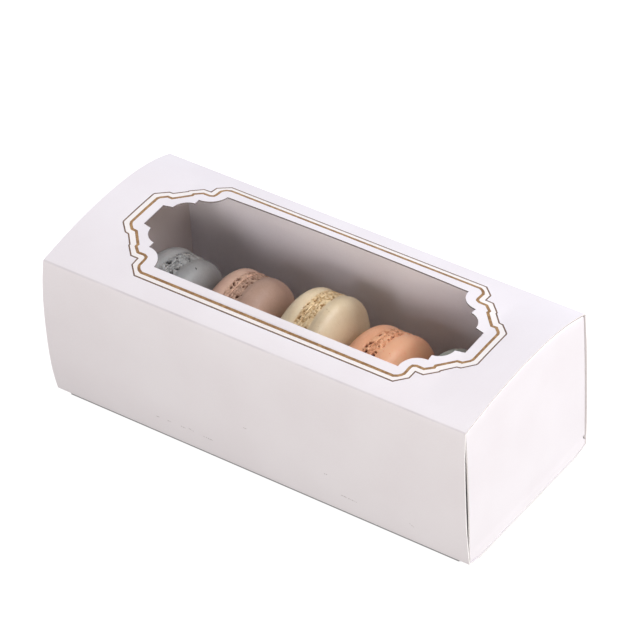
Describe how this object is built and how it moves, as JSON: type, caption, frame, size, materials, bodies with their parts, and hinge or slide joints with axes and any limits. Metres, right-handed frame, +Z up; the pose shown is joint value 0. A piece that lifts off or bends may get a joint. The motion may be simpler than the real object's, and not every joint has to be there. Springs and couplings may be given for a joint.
{
  "type": "macaron box",
  "caption": "Card sleeve with a shaped window in its bulged top; a full-length tray of macarons on edge slides out of its end.",
  "frame": {"origin": "middle of the flat strip under the sleeve, on the surface that the box stands on", "axes": "+X along the box towards the tray's end panel that faces the camera's right, +Y towards the back panel, +Z up"},
  "size_m": [0.165, 0.0728, 0.0605],
  "materials": {
    "sleeve_card": "smooth white coated card with a double ochre line printed round the window",
    "tray_card": "smooth white coated card",
    "macaron_grey": "baked shell, matt and smooth over a rough pitted foot",
    "filling_grey": "soft matt filling",
    "macaron_pink": "baked shell, matt and smooth over a rough pitted foot",
    "filling_pink": "soft matt filling",
    "macaron_cream": "baked shell, matt and smooth over a rough pitted foot",
    "filling_cream": "soft matt filling",
    "macaron_peach": "baked shell, matt and smooth over a rough pitted foot",
    "filling_peach": "soft matt filling",
    "macaron_sage": "baked shell, matt and smooth over a rough pitted foot",
    "filling_sage": "soft matt filling"
  },
  "bodies": {
    "sleeve": {"sleeve": "sleeve_card"},
    "tray": {"tray": "tray_card", "macaron_grey_left": "macaron_grey", "macaron_grey_filling": "filling_grey", "macaron_grey_right": "macaron_grey", "macaron_pink_left": "macaron_pink", "macaron_pink_filling": "filling_pink", "macaron_pink_right": "macaron_pink", "macaron_cream_left": "macaron_cream", "macaron_cream_filling": "filling_cream", "macaron_cream_right": "macaron_cream", "macaron_peach_left": "macaron_peach", "macaron_peach_filling": "filling_peach", "macaron_peach_right": "macaron_peach", "macaron_sage_left": "macaron_sage", "macaron_sage_filling": "filling_sage", "macaron_sage_right": "macaron_sage"}
  },
  "joints": [
    {"name": "tray_slide", "type": "slide", "parent": "sleeve", "child": "tray", "axis": [1, 0, 0], "range_m": [0, 0.13]}
  ]
}
